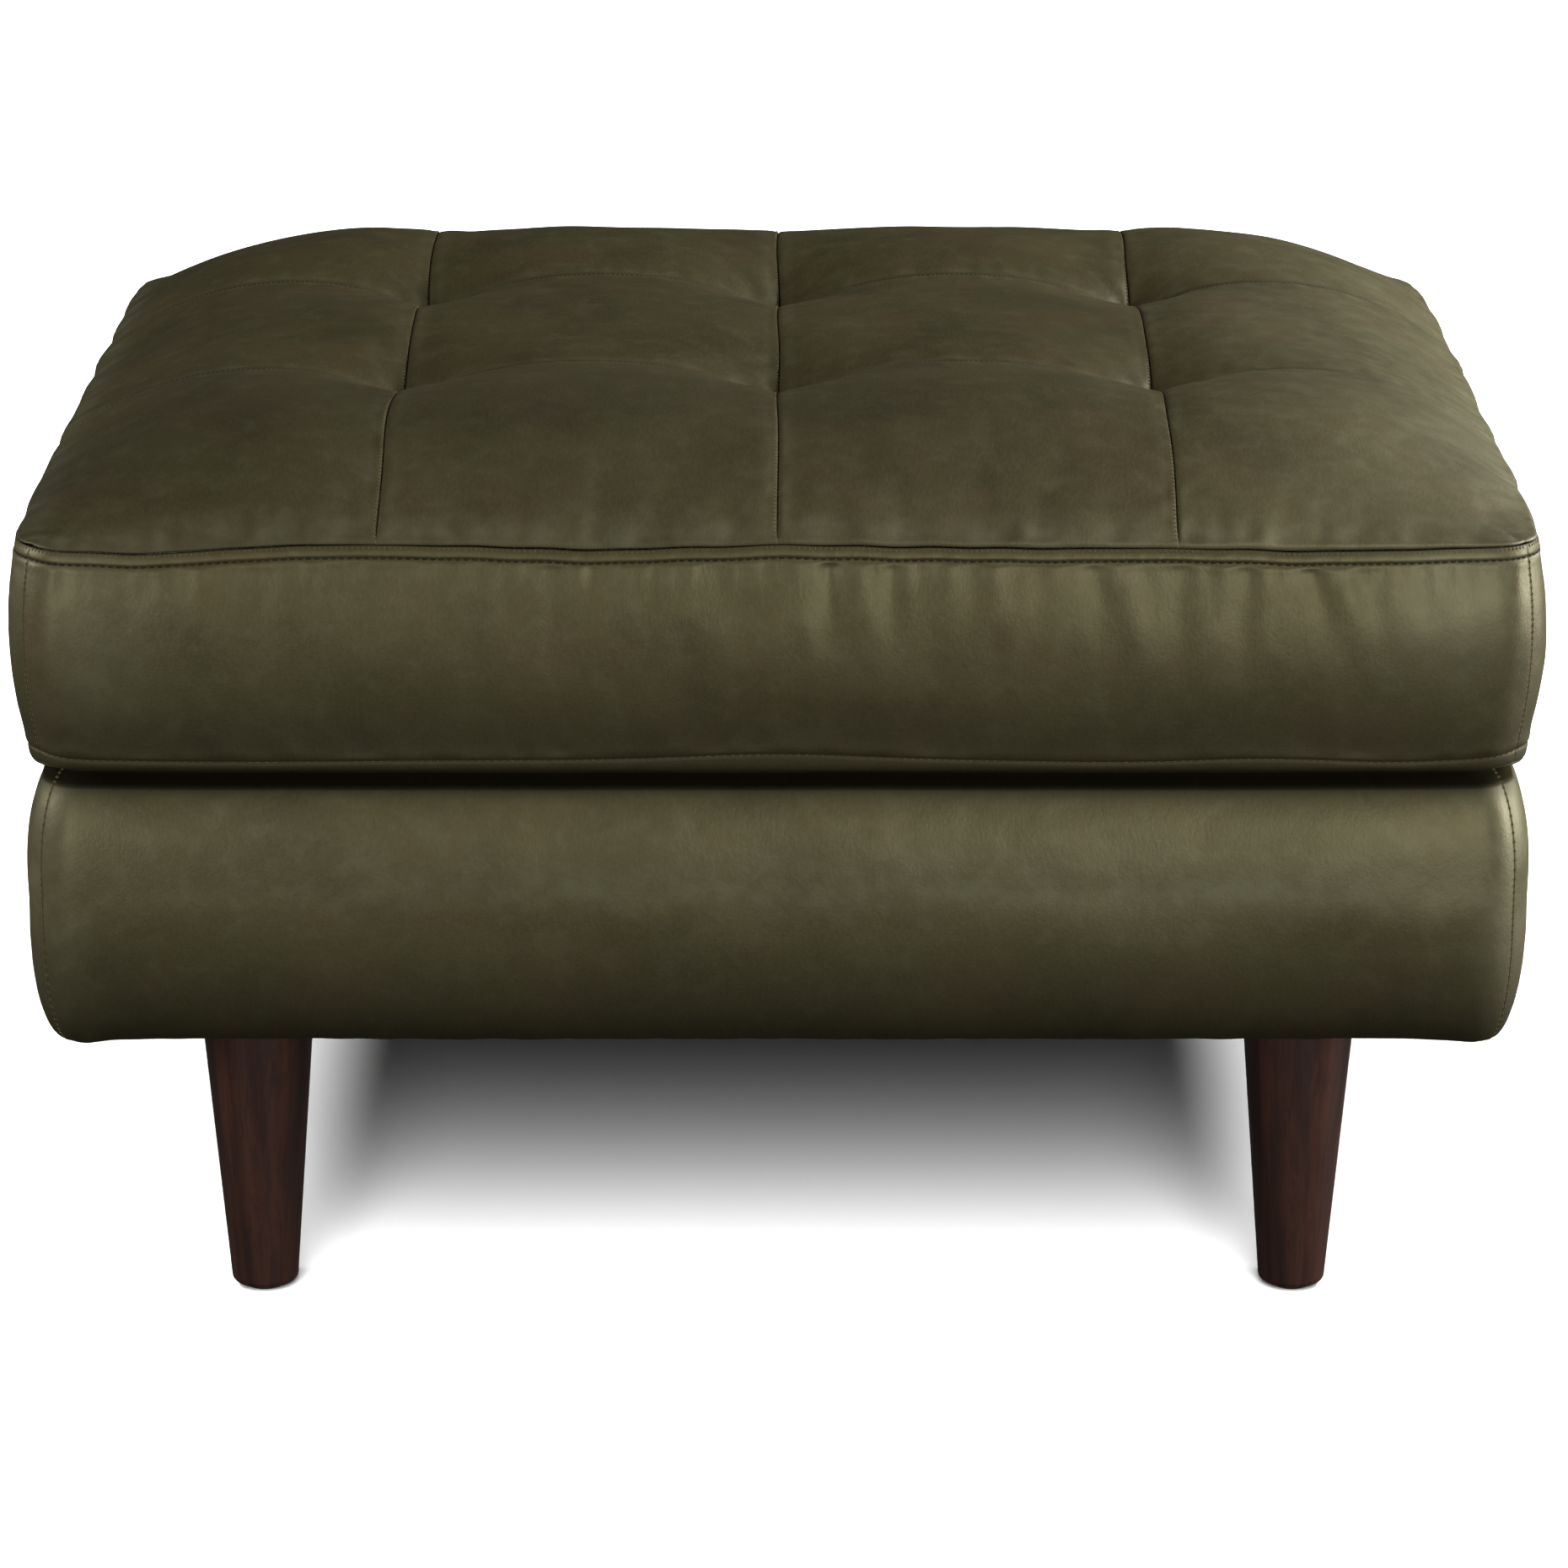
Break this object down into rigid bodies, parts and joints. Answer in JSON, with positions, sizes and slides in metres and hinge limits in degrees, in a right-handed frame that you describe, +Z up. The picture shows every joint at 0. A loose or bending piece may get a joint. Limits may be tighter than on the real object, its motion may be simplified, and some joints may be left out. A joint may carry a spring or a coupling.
{
  "type": "tufted ottoman",
  "caption": "Low upholstered ottoman: a loose blind-tufted box cushion on a padded box base with round tapered wooden legs.",
  "frame": {"origin": "on the floor, under the middle of the ottoman", "axes": "+X to the right along the long side, +Y to the back, +Z up"},
  "size_m": [0.752, 0.63, 0.4679],
  "materials": {
    "olive_leather": "satin, pull-up, mottled",
    "foam": "matt open cell",
    "fibre_wadding": "matt fibre",
    "frame_hardwood": "sawn",
    "dark_walnut": "satin stain",
    "zinc_steel": "zinc plated",
    "glide_plastic": "matt",
    "elastic_webbing": "woven",
    "deck_cloth": "woven, matt",
    "dust_cloth": "non-woven, matt",
    "hook_and_loop": "hook and loop pile",
    "tuft_twine": "waxed",
    "washer_plastic": "matt"
  },
  "bodies": {
    "base": {"base_cover_front": "olive_leather", "base_cover_left": "olive_leather", "base_cover_rear": "olive_leather", "base_cover_right": "olive_leather", "base_pad_front": "foam", "base_pad_left": "foam", "base_pad_rear": "foam", "base_pad_right": "foam", "corner_block_front_left": "frame_hardwood", "corner_block_front_right": "frame_hardwood", "corner_block_rear_left": "frame_hardwood", "corner_block_rear_right": "frame_hardwood", "deck_cloth": "deck_cloth", "deck_pad": "foam", "dust_cover": "dust_cloth", "frame_centre_stretcher": "frame_hardwood", "frame_front_rail": "frame_hardwood", "frame_left_rail": "frame_hardwood", "frame_rear_rail": "frame_hardwood", "frame_right_rail": "frame_hardwood", "frame_screws": "zinc_steel", "glide_front_left": "glide_plastic", "glide_front_right": "glide_plastic", "glide_rear_left": "glide_plastic", "glide_rear_right": "glide_plastic", "hook_tape": "hook_and_loop", "leg_bolts": "zinc_steel", "leg_front_left": "dark_walnut", "leg_front_right": "dark_walnut", "leg_rear_left": "dark_walnut", "leg_rear_right": "dark_walnut", "leg_tee_nuts": "zinc_steel", "webbing_cross": "elastic_webbing", "webbing_long": "elastic_webbing"},
    "cushion": {"cushion_bottom_panel": "olive_leather", "cushion_boxing_front": "olive_leather", "cushion_boxing_left": "olive_leather", "cushion_boxing_rear": "olive_leather", "cushion_boxing_right": "olive_leather", "cushion_core": "foam", "cushion_topper": "fibre_wadding", "loop_tape": "hook_and_loop", "top_panel_row1_column1": "olive_leather", "top_panel_row1_column2": "olive_leather", "top_panel_row1_column3": "olive_leather", "top_panel_row1_column4": "olive_leather", "top_panel_row2_column1": "olive_leather", "top_panel_row2_column2": "olive_leather", "top_panel_row2_column3": "olive_leather", "top_panel_row2_column4": "olive_leather", "top_panel_row3_column1": "olive_leather", "top_panel_row3_column2": "olive_leather", "top_panel_row3_column3": "olive_leather", "top_panel_row3_column4": "olive_leather", "tuft_ties": "tuft_twine", "tuft_washers": "washer_plastic"}
  },
  "joints": [
    {"name": "cushion_lift", "type": "slide", "parent": "base", "child": "cushion", "axis": [0, 0, 1], "range_m": [0, 0.25]}
  ]
}
